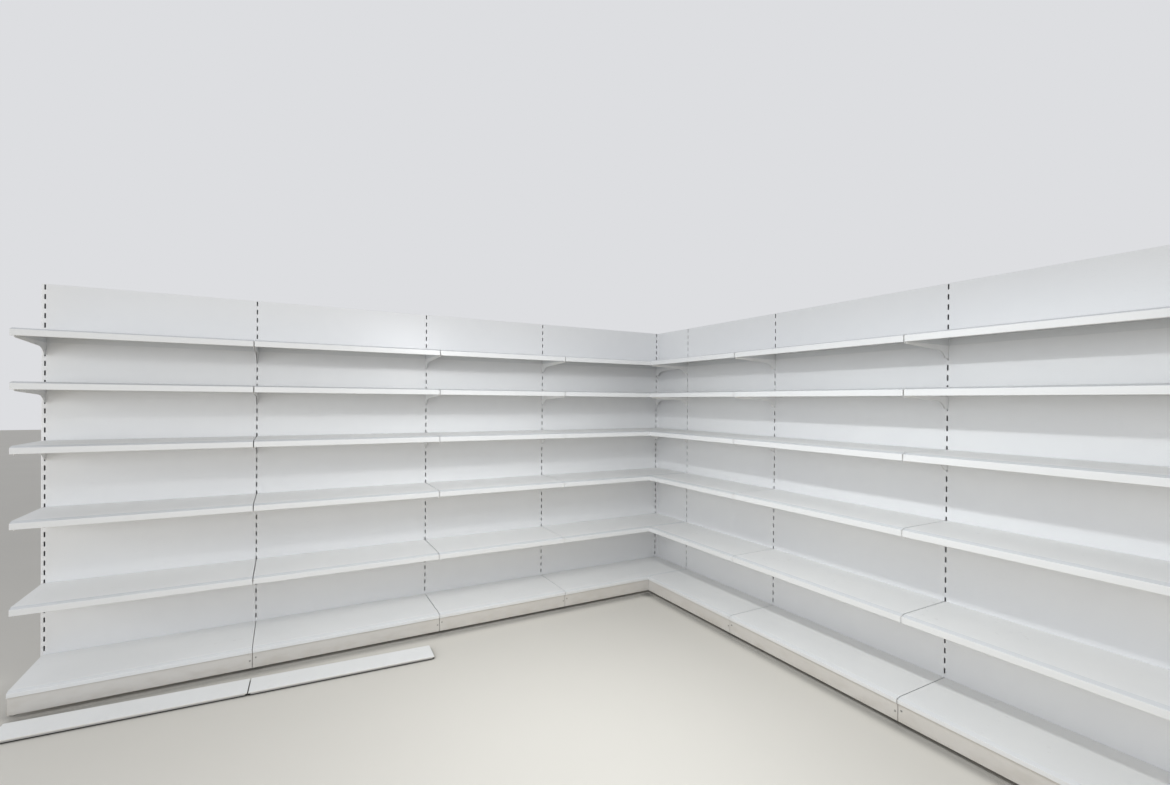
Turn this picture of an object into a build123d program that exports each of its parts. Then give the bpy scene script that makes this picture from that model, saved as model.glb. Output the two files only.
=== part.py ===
"""Corner run of steel wall shelving: two runs of slotted uprights, back panels, bracketed shelves
and a plinth base that meet in the corner of a room.

Millimetres, +Z up. Each run is drawn in its own frame: X to the right as seen from the front,
Y into the wall, and zero at the corner, on the front face of the uprights. The right run is that
frame turned by -90 degrees about Z. At the end everything is moved so that the origin lies under
the middle of the whole run, on the floor.
"""
from build123d import *
import os

# Plan of the two runs
LEFT_BAYS = (970.0, 1030.0, 905.0, 1110.0)
RIGHT_BAYS = (850.0, 1020.0, 1000.0)
CORNER_GAP = 5.0
FRONT_GAP = 3.0

# Uprights and their slots
UPRIGHT_WIDTH = 30.0
UPRIGHT_DEPTH = 60.0
UPRIGHT_WALL = 2.0
UPRIGHT_TOP = 2082.0
SLOT_WIDTH = 7.0
SLOT_HEIGHT = 28.0
SLOT_PITCH = 50.0
TOP_SLOT_DROP = 17.0

# Sheet metal
SHEET = 1.0
JOINT_GAP = 1.0
SEAT_GAP = 0.3

# Back panels
PANEL_BOTTOM = 100.0
PANEL_FLANGE = 15.0
PANEL_SIDE_GAP = 1.0
SLIT_WIDTH = 9.0

# Shelves
SHELF_REACH = 375.0
BASE_REACH = 400.0
BASE_DECK = 132.0
FIRST_DECK = 510.0
DECK_STEPS = (400.0, 350.0, 300.0, 250.0)
SHELF_HEIGHT = 38.0
SIDE_FLANGE = 36.0
NOSE_DEPTH = 25.0
NOSE_DROP = 8.0
HEM = 12.0
PANEL_GAP = 1.0
END_OVERHANG = 8.0
CORNER_STOP = 3.0

# Brackets
BRACKET_SHEET = 2.5
BRACKET_HEIGHT = 100.0
BRACKET_FOOT = 24.0
BRACKET_WAIST = 60.0
BRACKET_BEND = 90.0
BRACKET_TIP = 45.0
BRACKET_SETBACK = 14.0
BRACKET_NOSE = 12.0
TONGUE_HEIGHT = 13.0
TONGUE_DROP = 10.0
TONGUE_INSIDE = 5.0
TONGUE_REST = 12.5

# Base: legs, levelling feet, base shelf and plinth
LEG_BOTTOM = 18.0
LEG_HEIGHT = 60.0
LEG_WIDTH = 30.0
LEG_WALL = 2.0
UPRIGHT_SOLE = 4.0
FOOT_RADIUS = 18.0
FOOT_HEIGHT = 8.0
STUD_RADIUS = 5.0
FRONT_FOOT_SETBACK = 50.0
BASE_LIP = 26.0
BASE_NOSE_DROP = 6.0
PLINTH_SETBACK = 8.0
PLINTH_BOTTOM = 15.0
PLINTH_HEM = 10.0
BASE_GAP = 2.0

# Loose plinth plates left lying on the floor in front of the left run
LOOSE_WIDTH = 150.0
LOOSE_DEPTH = 15.0
LOOSE_LEFT_LENGTH = 970.0
LOOSE_LEFT_TURN = -2.9
LOOSE_RIGHT_LENGTH = 930.0
LOOSE_RIGHT_TURN = -2.7
LOOSE_JOINT = (-3076.0, -642.0)
LOOSE_JOINT_GAP = 5.0
LOOSE_JOINT_STEP = 1.2


def running_total(start, steps):
    """Return start and each sum reached after one more step."""
    places = [start]
    for step in steps:
        places.append(places[-1] + step)
    return places


SLOT_CENTRES = [UPRIGHT_TOP - TOP_SLOT_DROP - SLOT_PITCH * n
                for n in range(int((UPRIGHT_TOP - TOP_SLOT_DROP - BASE_DECK) // SLOT_PITCH) + 1)]
DECKS = running_total(FIRST_DECK, DECK_STEPS)
CORNER_UPRIGHT = -CORNER_GAP - UPRIGHT_WIDTH / 2
LEFT_UPRIGHTS = running_total(CORNER_UPRIGHT - sum(LEFT_BAYS), LEFT_BAYS)
RIGHT_UPRIGHTS = running_total(SHELF_REACH + FRONT_GAP, RIGHT_BAYS)
PANEL_FRONT = -SHEET
SHELF_BACK = PANEL_FRONT - PANEL_GAP
PLINTH_FRONT = -BASE_REACH + PLINTH_SETBACK
PLINTH_BACK = PLINTH_FRONT + PLINTH_HEM
LEG_TOP = LEG_BOTTOM + LEG_HEIGHT
PLINTH_TOP = BASE_DECK - BASE_LIP

# Places across an upright's centre line, one side of it
BRACKET_NEAR = SEAT_GAP
BRACKET_FAR = BRACKET_NEAR + BRACKET_SHEET
FLANGE_NEAR = BRACKET_FAR + SEAT_GAP
DECK_NEAR = JOINT_GAP / 2


def block(x, y, z):
    """Return a box from its three (low, high) pairs."""
    size = Box(x[1] - x[0], y[1] - y[0], z[1] - z[0])
    return Pos((x[0] + x[1]) / 2, (y[0] + y[1]) / 2, (z[0] + z[1]) / 2) * size


def bent_sheet(points, x):
    """Fold a sheet along (y, z) points, its thickness on the right-hand side, from x[0] to x[1]."""
    with BuildPart() as folded:
        with BuildSketch(Plane.YZ.offset(x[0])):
            with BuildLine():
                line = Polyline(*points)
                offset(line, SHEET, side=Side.RIGHT, kind=Kind.INTERSECTION)
            make_face()
        extrude(amount=x[1] - x[0])
    return folded.part


def upright():
    """A closed rectangular tube with one column of slots in its front wall, centred on x = 0."""
    half = UPRIGHT_WIDTH / 2
    middle = (LEG_BOTTOM + UPRIGHT_TOP) / 2
    with BuildPart() as front:
        with BuildSketch(Plane.XZ):
            with Locations((0, middle)):
                Rectangle(UPRIGHT_WIDTH, UPRIGHT_TOP - LEG_BOTTOM)
            with Locations(*[(0, z) for z in SLOT_CENTRES]):
                SlotOverall(SLOT_HEIGHT, SLOT_WIDTH, rotation=90, mode=Mode.SUBTRACT)
        extrude(amount=-UPRIGHT_WALL)
    outer = block((-half, half), (UPRIGHT_WALL, UPRIGHT_DEPTH), (LEG_BOTTOM, UPRIGHT_TOP))
    inner = block((UPRIGHT_WALL - half, half - UPRIGHT_WALL), (0, UPRIGHT_DEPTH - UPRIGHT_WALL),
                  (LEG_BOTTOM + UPRIGHT_SOLE, UPRIGHT_TOP - UPRIGHT_WALL))
    return outer - inner + front.part


def panel(low, high, left_upright, right_upright):
    """A back panel over the upright faces, with a flange turned back between the uprights."""
    face = block((low, high), (PANEL_FRONT, 0), (PANEL_BOTTOM, UPRIGHT_TOP))
    inset = UPRIGHT_WIDTH / 2 + PANEL_SIDE_GAP
    span = (left_upright + inset, right_upright - inset)
    top = block(span, (0, PANEL_FLANGE), (UPRIGHT_TOP - SHEET, UPRIGHT_TOP))
    bottom = block(span, (0, PANEL_FLANGE), (PANEL_BOTTOM, PANEL_BOTTOM + SHEET))
    return face + top + bottom


def side_plate(points, low):
    """A flat plate one sheet thick with the outline given in (y, z), its left face at x = low."""
    with BuildPart() as plate:
        with BuildSketch(Plane.YZ.offset(low)):
            with BuildLine():
                Polyline(*points, points[0])
            make_face()
        extrude(amount=SHEET)
    return plate.part


def tray(x, flanges, deck, reach, nose, lip, floor):
    """A folded shelf: deck, sloping nose, front face and hem, with side flanges and a rear flange.

    x is the span of the deck and the front face, flanges the span between the side flanges'
    outer faces, lip the height of the front and floor the height the flanges reach down to.
    """
    front = -reach
    points = [(front + HEM, deck - lip), (front, deck - lip), (front, deck - nose),
              (front + NOSE_DEPTH, deck), (SHELF_BACK, deck)]
    solid = bent_sheet(points, x)
    rear = SHELF_BACK - SHEET
    outline = [(front + NOSE_DEPTH, deck - SHEET), (rear, deck - SHEET), (rear, floor),
               (front + NOSE_DEPTH, floor)]
    for low in (flanges[0], flanges[1] - SHEET):
        solid += side_plate(outline, low)
    return solid + block(flanges, (rear, SHELF_BACK), (floor, deck - SHEET))


def shelf(x, flanges):
    """An upper shelf with its deck at z = 0, which sits on the brackets."""
    return tray(x, flanges, 0, SHELF_REACH, NOSE_DROP, SHELF_HEIGHT, -SIDE_FLANGE)


def base_shelf(x, flanges):
    """The lowest shelf, whose flanges stand on the legs."""
    return tray(x, flanges, BASE_DECK, BASE_REACH, BASE_NOSE_DROP, BASE_LIP, LEG_TOP)


def bracket(side, deck):
    """A sheet-steel cantilever with tongues through the slots, on one side (-1 or 1) of x = 0."""
    top = deck - SHEET
    waist = deck - BRACKET_WAIST
    foot = deck - BRACKET_HEIGHT
    tip = -SHELF_REACH + BRACKET_SETBACK
    with BuildPart() as plate:
        with BuildSketch(Plane.YZ.offset(side * BRACKET_NEAR)):
            with BuildLine():
                Polyline((PANEL_FRONT, top), (NOSE_DEPTH - SHELF_REACH + SHEET, top),
                         (tip, deck - BRACKET_NOSE), (tip, deck - BRACKET_TIP),
                         (-BRACKET_BEND, waist))
                TangentArc((-BRACKET_BEND, waist), (-BRACKET_FOOT, foot),
                           tangent=(-BRACKET_BEND - tip, BRACKET_TIP - BRACKET_WAIST))
                Polyline((-BRACKET_FOOT, foot), (PANEL_FRONT, foot), (PANEL_FRONT, top))
            make_face()
        extrude(amount=side * BRACKET_SHEET)
    solid = plate.part
    x = sorted((side * BRACKET_NEAR, side * BRACKET_FAR))
    solid += block(x, (PANEL_FRONT, 0), (foot, top))
    for z in SLOT_CENTRES:
        if foot < z < top:
            low = max(z - TONGUE_REST, foot + SEAT_GAP)
            high = low + TONGUE_HEIGHT
            solid += block(x, (0, UPRIGHT_WALL + TONGUE_INSIDE), (low, high))
            solid += block(x, (UPRIGHT_WALL + SEAT_GAP, UPRIGHT_WALL + TONGUE_INSIDE),
                           (low - TONGUE_DROP, high))
    return solid


def base_leg(centre):
    """A low tube from the upright forward to the plinth, which carries the base shelves."""
    half = LEG_WIDTH / 2
    outer = block((centre - half, centre + half), (PLINTH_BACK, 0), (LEG_BOTTOM, LEG_TOP))
    inner = block((centre - half + LEG_WALL, centre + half - LEG_WALL),
                  (PLINTH_BACK + LEG_WALL, -LEG_WALL), (LEG_BOTTOM + LEG_WALL, LEG_TOP - LEG_WALL))
    return outer - inner


def levelling_foot(centre, y):
    """A round foot with a stud up to the underside of what it carries."""
    disc = Pos(centre, y, FOOT_HEIGHT / 2) * Cylinder(FOOT_RADIUS, FOOT_HEIGHT)
    stud = Pos(centre, y, (FOOT_HEIGHT + LEG_BOTTOM) / 2) * Cylinder(STUD_RADIUS,
                                                                    LEG_BOTTOM - FOOT_HEIGHT)
    return disc + stud


def plinth(x):
    """A plate with a hem turned back along its top and bottom and at both ends."""
    points = [(PLINTH_BACK, PLINTH_BOTTOM), (PLINTH_FRONT, PLINTH_BOTTOM),
              (PLINTH_FRONT, PLINTH_TOP), (PLINTH_BACK, PLINTH_TOP)]
    plate = bent_sheet(points, x)
    for low in (x[0], x[1] - SHEET):
        plate += block((low, low + SHEET), (PLINTH_FRONT + SHEET, PLINTH_BACK),
                       (PLINTH_BOTTOM + SHEET, PLINTH_TOP - SHEET))
    return plate


def bays(uprights):
    """Return each bay as its (left, right) pair of upright centres."""
    return list(zip(uprights[:-1], uprights[1:]))


def flange_span(bay):
    """The span between the outer faces of a shelf's side flanges, inside the brackets."""
    return (bay[0] + FLANGE_NEAR, bay[1] - FLANGE_NEAR)


def deck_spans(uprights, first, last):
    """The span of each bay's deck, with the two ends of the run given outright."""
    edges = [first] + [centre for centre in uprights[1:-1]] + [last]
    return [(low + DECK_NEAR * (n > 0), high - DECK_NEAR * (n < len(edges) - 2))
            for n, (low, high) in enumerate(zip(edges[:-1], edges[1:]))]


def bracket_sides(number, count):
    """An end upright has one bracket, on its inner side; the others have two."""
    if number == 0:
        return (1,)
    if number == count - 1:
        return (-1,)
    return (-1, 1)


def run_nodes(name, uprights, shelf_ends, base_ends, plinth_ends, leg_shifts):
    """Return one run's nodes by name, in the run's own frame."""
    nodes = {}
    for n, centre in enumerate(uprights):
        nodes[f"{name}_upright_{n + 1}"] = [Pos(centre, 0, 0) * UPRIGHT_TUBE]
        sides = bracket_sides(n, len(uprights))
        nodes[f"{name}_brackets_{n + 1}"] = [Pos(centre, 0, 0) * BRACKETS[side, deck]
                                             for deck in DECKS for side in sides]
    for n, bay in enumerate(bays(uprights)):
        span = (bay[0] + SLIT_WIDTH / 2, bay[1] - SLIT_WIDTH / 2)
        nodes[f"{name}_panel_{n + 1}"] = [panel(span[0], span[1], bay[0], bay[1])]
    spans = deck_spans(uprights, *shelf_ends)
    trays = [shelf(span, flange_span(bay)) for span, bay in zip(spans, bays(uprights))]
    for level, deck in enumerate(DECKS):
        nodes[f"{name}_shelves_{level + 1}"] = [Pos(0, 0, deck) * solid for solid in trays]
    legs = [centre + shift for centre, shift in zip(uprights, leg_shifts)]
    nodes[f"{name}_base_shelves"] = [base_shelf(span, flange_span(bay)) for span, bay
                                     in zip(deck_spans(uprights, *base_ends), bays(legs))]
    nodes[f"{name}_plinths"] = [plinth(span) for span in deck_spans(uprights, *plinth_ends)]
    nodes[f"{name}_base_legs"] = [base_leg(leg) for leg in legs]
    feet = [levelling_foot(centre, UPRIGHT_DEPTH / 2) for centre in uprights]
    feet += [levelling_foot(leg, PLINTH_BACK + FRONT_FOOT_SETBACK) for leg in legs]
    return nodes, feet


def corner_panel():
    """One folded filler: a narrow strip beside the last left upright and the wide right-hand part."""
    height = (PANEL_BOTTOM, UPRIGHT_TOP)
    end = SLIT_WIDTH / 2 - RIGHT_UPRIGHTS[0]
    back = (UPRIGHT_WIDTH / 2 + PANEL_SIDE_GAP - RIGHT_UPRIGHTS[0], PANEL_FRONT)
    filler = block((CORNER_UPRIGHT + SLIT_WIDTH / 2, 0), (PANEL_FRONT, 0), height)
    filler += block((PANEL_FRONT, 0), (end, 0), height)
    filler += block((PANEL_FRONT, PANEL_FLANGE), back, (UPRIGHT_TOP - SHEET, UPRIGHT_TOP))
    return filler + block((PANEL_FRONT, PANEL_FLANGE), back, (PANEL_BOTTOM, PANEL_BOTTOM + SHEET))


def loose_plate(x, corner, turn):
    """A tray-shaped plate lying face up; x is its span from the corner on the floor it turns about."""
    outer = block(x, (0, LOOSE_WIDTH), (0, LOOSE_DEPTH))
    inner = block((x[0] + SHEET, x[1] - SHEET), (SHEET, LOOSE_WIDTH - SHEET), (0, LOOSE_DEPTH - SHEET))
    return Pos(corner[0], corner[1], 0) * Rot(0, 0, turn) * (outer - inner)


UPRIGHT_TUBE = upright()
BRACKETS = {(side, deck): bracket(side, deck) for side in (-1, 1) for deck in DECKS}


def main():
    """Build every node, centre the whole and write one STEP file per node."""
    corner_leg = BASE_REACH + BASE_GAP - RIGHT_UPRIGHTS[0]
    left, feet = run_nodes("left", LEFT_UPRIGHTS,
                           (LEFT_UPRIGHTS[0] - END_OVERHANG, -CORNER_STOP),
                           (LEFT_UPRIGHTS[0] - END_OVERHANG, -CORNER_STOP),
                           (LEFT_UPRIGHTS[0] - END_OVERHANG + SHEET, PLINTH_BACK - DECK_NEAR),
                           [0.0] * len(LEFT_UPRIGHTS))
    right_end = RIGHT_UPRIGHTS[-1] + END_OVERHANG
    right, right_feet = run_nodes("right", RIGHT_UPRIGHTS,
                                  (SHELF_REACH + FRONT_GAP, right_end),
                                  (BASE_REACH + BASE_GAP, right_end),
                                  (-PLINTH_FRONT + DECK_NEAR, right_end - SHEET),
                                  [corner_leg] + [0.0] * (len(RIGHT_UPRIGHTS) - 1))
    turn = Rot(0, 0, -90)
    nodes = dict(left)
    nodes.update({name: [turn * solid for solid in solids] for name, solids in right.items()})
    nodes["levelling_feet"] = feet + [turn * solid for solid in right_feet]
    nodes["corner_panel"] = [corner_panel()]
    joined = (LOOSE_JOINT[0] + LOOSE_JOINT_GAP, LOOSE_JOINT[1] - LOOSE_JOINT_STEP)
    nodes["loose_plate_left"] = [loose_plate((-LOOSE_LEFT_LENGTH, 0), LOOSE_JOINT, LOOSE_LEFT_TURN)]
    nodes["loose_plate_right"] = [loose_plate((0, LOOSE_RIGHT_LENGTH), joined, LOOSE_RIGHT_TURN)]
    shapes = {name: solids[0] if len(solids) == 1 else Compound(children=solids)
              for name, solids in nodes.items()}
    boxes = [shape.bounding_box() for shape in shapes.values()]
    low = [min(getattr(box.min, axis) for box in boxes) for axis in "XYZ"]
    high = [max(getattr(box.max, axis) for box in boxes) for axis in "XYZ"]
    move = Pos(-(low[0] + high[0]) / 2, -(low[1] + high[1]) / 2, -low[2])
    os.makedirs("parts", exist_ok=True)
    for name, shape in shapes.items():
        export_step(move * shape, f"parts/{name}.step")


main()
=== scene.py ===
"""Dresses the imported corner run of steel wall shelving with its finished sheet-metal pieces.

Lengths are millimetres in a run's own frame: X along the run, Y into the wall, Z up, zero at the
corner on the front face of the uprights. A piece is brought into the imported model's frame, in
metres, when it is finished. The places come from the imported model's own boxes.
"""
import logging
import math
from dataclasses import dataclass
from enum import Enum
from functools import cache
from typing import Iterable, Mapping, Sequence

import bmesh
import bpy
from bmesh.types import BMEdge, BMesh, BMFace, BMVert
from bpy.types import ID, Material, Node, NodeSocket as Socket, NodeTree, Object
from mathutils import Matrix, Vector


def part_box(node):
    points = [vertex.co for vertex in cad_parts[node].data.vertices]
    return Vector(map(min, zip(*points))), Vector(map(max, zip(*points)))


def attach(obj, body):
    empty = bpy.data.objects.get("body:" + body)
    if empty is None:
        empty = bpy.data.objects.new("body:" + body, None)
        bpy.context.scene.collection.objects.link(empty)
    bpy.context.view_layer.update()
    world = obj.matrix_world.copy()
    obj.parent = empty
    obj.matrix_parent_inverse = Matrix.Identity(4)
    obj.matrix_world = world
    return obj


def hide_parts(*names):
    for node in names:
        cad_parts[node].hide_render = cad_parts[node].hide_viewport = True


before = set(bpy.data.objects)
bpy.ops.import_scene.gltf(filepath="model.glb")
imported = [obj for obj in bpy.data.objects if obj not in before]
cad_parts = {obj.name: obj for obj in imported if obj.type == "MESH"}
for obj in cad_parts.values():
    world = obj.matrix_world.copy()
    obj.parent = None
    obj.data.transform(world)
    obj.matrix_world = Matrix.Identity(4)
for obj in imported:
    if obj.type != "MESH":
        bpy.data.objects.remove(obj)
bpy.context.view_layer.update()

LOG = logging.getLogger("shelving")
MM = 0.001
WELD = 0.001
SLIVER = 0.002
NEAR = 0.01
SHARP_ANGLE = math.radians(38)
UPRIGHT_HALF, UPRIGHT_DEPTH, UPRIGHT_WALL = 15.0, 60.0, 2.0
Span = tuple[float, float]
Point = tuple[float, float]
Place = tuple[float, float, float]
Colour = tuple[float, float, float]
Sockets = Mapping[str, Socket]


def linear(*channels: int) -> Colour:
    """Return an sRGB colour, given in 0 to 255, as linear values."""
    return tuple(part / 12.92 if part <= 0.04045 else ((part + 0.055) / 1.055) ** 2.4
                 for part in (channel / 255 for channel in channels))


def pairs(values: Sequence) -> list[tuple]:
    """Return each value with the next one."""
    return list(zip(values[:-1], values[1:]))


def link(name: str, data: ID) -> Object:
    """Add an object to the scene.

    Args:
        name: The object's name.
        data: Its mesh, light or camera.

    Returns:
        The object.
    """
    made = bpy.data.objects.new(name, data)
    bpy.context.scene.collection.objects.link(made)
    return made


def facing(axes: Sequence[Vector], at: Vector) -> Matrix:
    """Return the transform that puts a lamp or camera at a point with its three axes."""
    return Matrix.Translation(at) @ Matrix(axes).transposed().to_4x4()


class Slot(Enum):
    """The record's material slots."""
    UPRIGHT = "upright_white"
    PANEL = "panel_white"
    BRACKET = "bracket_white"
    SHELF = "shelf_white"
    PLINTH = "plinth_white"
    LEG = "leg_grey"
    FOOT = "foot_grey"


class Run(Enum):
    """The two runs of the corner, with their turn about Z in degrees."""
    LEFT = ("left", 0.0)
    RIGHT = ("right", -90.0)

    @property
    def title(self) -> str:
        """The run's word in the node names."""
        return self.value[0]

    @property
    def turn(self) -> Matrix:
        """The run's turn about the vertical through the corner."""
        return Matrix.Rotation(math.radians(self.value[1]), 4, "Z")


# Shader node groups and finishes

class Sheet:
    """A node tree being filled, with short ways to add and link nodes."""

    def __init__(self, tree: NodeTree) -> None:
        """Keep the tree that is filled."""
        self.tree = tree

    def node(self, kind: str, inputs: Mapping[str | int, object] | None = None,
             **settings: object) -> Node:
        """Add a node.

        Args:
            kind: The node's bl_idname.
            inputs: Values or output sockets for its inputs, by name or number.
            settings: Attributes set on the node itself.

        Returns:
            The new node.
        """
        made = self.tree.nodes.new(kind)
        for key, value in settings.items():
            setattr(made, key, value)
        for key, value in (inputs or {}).items():
            self.feed(made.inputs[key], value)
        return made

    def feed(self, socket: Socket, value: object) -> None:
        """Link an output socket to an input, or set the input's own value.

        Args:
            socket: The input.
            value: An output socket to link, or a value to set.
        """
        if isinstance(value, Socket):
            self.tree.links.new(value, socket)
        elif socket.type == "RGBA" and len(value) == 3:
            socket.default_value = (*value, 1.0)
        else:
            socket.default_value = value

    def math(self, operation: str, *values: object, clamp: bool = False) -> Socket:
        """Return a Math node's output for the given values or sockets."""
        return self.node("ShaderNodeMath", dict(enumerate(values)), operation=operation,
                         use_clamp=clamp).outputs[0]

    def times(self, first: object, second: object, clamp: bool = False) -> Socket:
        """Return the product of two values or sockets."""
        return self.math("MULTIPLY", first, second, clamp=clamp)

    def plus(self, first: object, second: object, clamp: bool = False) -> Socket:
        """Return the sum of two values or sockets."""
        return self.math("ADD", first, second, clamp=clamp)

    def blend(self, factor: object, first: object, second: object) -> Socket:
        """Mix two colours by a factor and return the colour."""
        return self.node("ShaderNodeMix", {0: factor, 6: first, 7: second},
                         data_type="RGBA").outputs[2]

    def band(self, value: Socket, low: float, high: float) -> Socket:
        """Return value taken smoothly from 0 at low to 1 at high."""
        return self.node("ShaderNodeMapRange", {0: value, 1: low, 2: high, 3: 0.0, 4: 1.0},
                         interpolation_type="SMOOTHSTEP").outputs[0]

    def place(self) -> Socket:
        """Return the object coordinates."""
        return self.node("ShaderNodeTexCoord").outputs["Object"]

    def height(self) -> Socket:
        """Return the height on the object."""
        return self.node("ShaderNodeSeparateXYZ", {0: self.place()}).outputs["Z"]

    def noise(self, scale: object, detail: float, stretch: Place = (1.0, 1.0, 1.0),
              seed: float = 0.0) -> Socket:
        """Add a noise on the object coordinates.

        Args:
            scale: The pattern's scale per metre.
            detail: Its octaves.
            stretch: Its scale along each axis.
            seed: How far it is moved.

        Returns:
            The noise value.
        """
        spot = self.node("ShaderNodeMapping", {
            "Vector": self.place(), "Scale": stretch, "Location": (seed, seed * 0.7, seed * 1.3)})
        return self.node("ShaderNodeTexNoise", {"Vector": spot.outputs[0], "Scale": scale,
                                                "Detail": detail}).outputs["Fac"]

    def any_ray(self, *kinds: str) -> Socket:
        """Ask the light path for rays of the named kinds.

        Args:
            kinds: The kinds' names, such as Camera.

        Returns:
            1 where the ray is one of them, or else 0.
        """
        path = self.node("ShaderNodeLightPath")
        rays = [path.outputs[f"Is {kind} Ray"] for kind in kinds]
        total = rays.pop()
        while rays:
            total = self.math("MAXIMUM", rays.pop(), total)
        return total


class Effect(Enum):
    """The shared effects: each group's name, inputs and outputs, with a star before a colour."""
    MOTTLE = ("coat_mottle", "*Coat *Cast Patch Amount", "*Color")
    PEEL = ("coat_peel", "Scale", "Height Fine")
    DUST_AND_TOP_LIGHT = ("settled_dust", "Amount Patch", "Mask")
    SCUFF = ("scuff_marks", "Amount Scale", "Mask")
    GRIME_AND_LOW_SHADE = ("floor_grime_and_low_shade", "Height Amount", "Mask")
    RUB = ("slot_rub", "Amount Pitch", "Mask")


class EffectShelf:
    """Makes the shared node groups."""

    @cache
    def group(self, effect: Effect) -> NodeTree:
        """Find an effect's node group, making it on its first use.

        Args:
            effect: The effect.

        Returns:
            Its node group.
        """
        name, takes, gives = effect.value
        tree = bpy.data.node_groups.new(name, "ShaderNodeTree")
        for words, way in ((takes, "INPUT"), (gives, "OUTPUT")):
            for word in words.split():
                kind = "NodeSocketColor" if word[0] == "*" else "NodeSocketFloat"
                tree.interface.new_socket(name=word.strip("*"), in_out=way, socket_type=kind)
        sheet = Sheet(tree)
        maker = {Effect.MOTTLE: self._mottle, Effect.PEEL: self._peel, Effect.DUST_AND_TOP_LIGHT: self._dust,
                 Effect.SCUFF: self._scuff, Effect.GRIME_AND_LOW_SHADE: self._grime_and_low_shade,
                 Effect.RUB: self._rub}[effect]
        made = maker(sheet, sheet.node("NodeGroupInput").outputs)
        sheet.node("NodeGroupOutput", dict(enumerate(made)))
        return tree

    def _mottle(self, sheet: Sheet, takes: Sockets) -> list[Socket]:
        """Slow, faint patches of a second cast in a white coat, with a finer cloud in them.

        Args:
            sheet: The group's tree.
            takes: The group's inputs.

        Returns:
            The mottled colour.
        """
        wide = sheet.noise(takes["Patch"], 2.0, seed=3.1)
        fine = sheet.noise(sheet.times(takes["Patch"], 9.0), 4.0, seed=7.7)
        both = sheet.plus(sheet.times(wide, 0.7), sheet.times(fine, 0.3))
        mask = sheet.times(sheet.band(both, 0.38, 0.64), takes["Amount"])
        return [sheet.blend(mask, takes["Coat"], takes["Cast"])]

    def _peel(self, sheet: Sheet, takes: Sockets) -> list[Socket]:
        """The small even waves of a sprayed and baked powder coat.

        Args:
            sheet: The group's tree.
            takes: The group's inputs.

        Returns:
            The height of the waves, and the fine grit alone.
        """
        waves = sheet.noise(takes["Scale"], 1.0, seed=1.9)
        grit = sheet.noise(sheet.times(takes["Scale"], 3.6), 2.0, seed=5.3)
        return [sheet.plus(waves, sheet.times(grit, 0.22)), grit]

    def _dust(self, sheet: Sheet, takes: Sockets) -> list[Socket]:
        """A pale film on faces that look straight up, a little thicker in patches: part settled
        dust, and part painted light from above where its tone is lighter than the coat.

        Args:
            sheet: The group's tree.
            takes: The group's inputs.

        Returns:
            The mask of the film of dust and painted top light.
        """
        normal = sheet.node("ShaderNodeNewGeometry").outputs["Normal"]
        facing_up = sheet.band(sheet.node("ShaderNodeSeparateXYZ", {0: normal}).outputs["Z"],
                               0.95, 0.995)
        patch = sheet.band(sheet.noise(takes["Patch"], 5.0, seed=11.0), 0.30, 0.75)
        speck = sheet.band(sheet.noise(420.0, 2.0, seed=2.2), 0.55, 0.75)
        film = sheet.plus(0.88, sheet.plus(sheet.times(patch, 0.12), sheet.times(speck, -0.14)))
        return [sheet.times(sheet.times(facing_up, film), takes["Amount"], clamp=True)]

    def _scuff(self, sheet: Sheet, takes: Sockets) -> list[Socket]:
        """Short thin rubs, mostly along the sheet, in loose groups.

        Args:
            sheet: The group's tree.
            takes: The group's inputs.

        Returns:
            The rubs' mask.
        """
        long_marks = sheet.noise(takes["Scale"], 3.0, (1.0, 1.0, 14.0), 4.0)
        cross_marks = sheet.noise(takes["Scale"], 3.0, (13.0, 13.0, 1.6), 9.0)
        lines = sheet.math("MAXIMUM", sheet.band(long_marks, 0.655, 0.70),
                           sheet.band(cross_marks, 0.675, 0.72))
        where = sheet.band(sheet.noise(2.7, 2.0, seed=6.0), 0.50, 0.64)
        return [sheet.times(sheet.times(lines, where), takes["Amount"], clamp=True)]

    def _grime_and_low_shade(self, sheet: Sheet, takes: Sockets) -> list[Socket]:
        """Clouded darkening that fades out upwards from the floor: mop marks and floor dirt, and
        painted shade low on the plinth.

        Args:
            sheet: The group's tree.
            takes: The group's inputs.

        Returns:
            The mask of the dirt and painted low shade.
        """
        cloud = sheet.noise(11.0, 5.0, (1.0, 1.0, 2.4), 8.0)
        reach = sheet.times(takes["Height"], sheet.plus(sheet.times(cloud, 1.4), 0.15))
        low = sheet.math("SUBTRACT", 1.0, sheet.math("DIVIDE", sheet.height(), reach), clamp=True)
        body = sheet.times(low, sheet.band(cloud, 0.30, 0.70))
        return [sheet.times(body, takes["Amount"], clamp=True)]

    def _rub(self, sheet: Sheet, takes: Sockets) -> list[Socket]:
        """Grey rubs where brackets were hooked in and out, repeating with the slots.

        Args:
            sheet: The group's tree.
            takes: The group's inputs.

        Returns:
            The rubs' mask.
        """
        phase = sheet.math("FRACT", sheet.math("DIVIDE", sheet.height(), takes["Pitch"]))
        away = sheet.math("ABSOLUTE", sheet.math("SUBTRACT", sheet.times(phase, 2.0), 0.6))
        near = sheet.math("SUBTRACT", 1.0, away, clamp=True)
        cloud = sheet.band(sheet.noise(60.0, 4.0, (1.0, 1.0, 0.5), 13.0), 0.45, 0.66)
        return [sheet.times(sheet.times(near, cloud), takes["Amount"], clamp=True)]


EFFECTS = EffectShelf()


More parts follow.
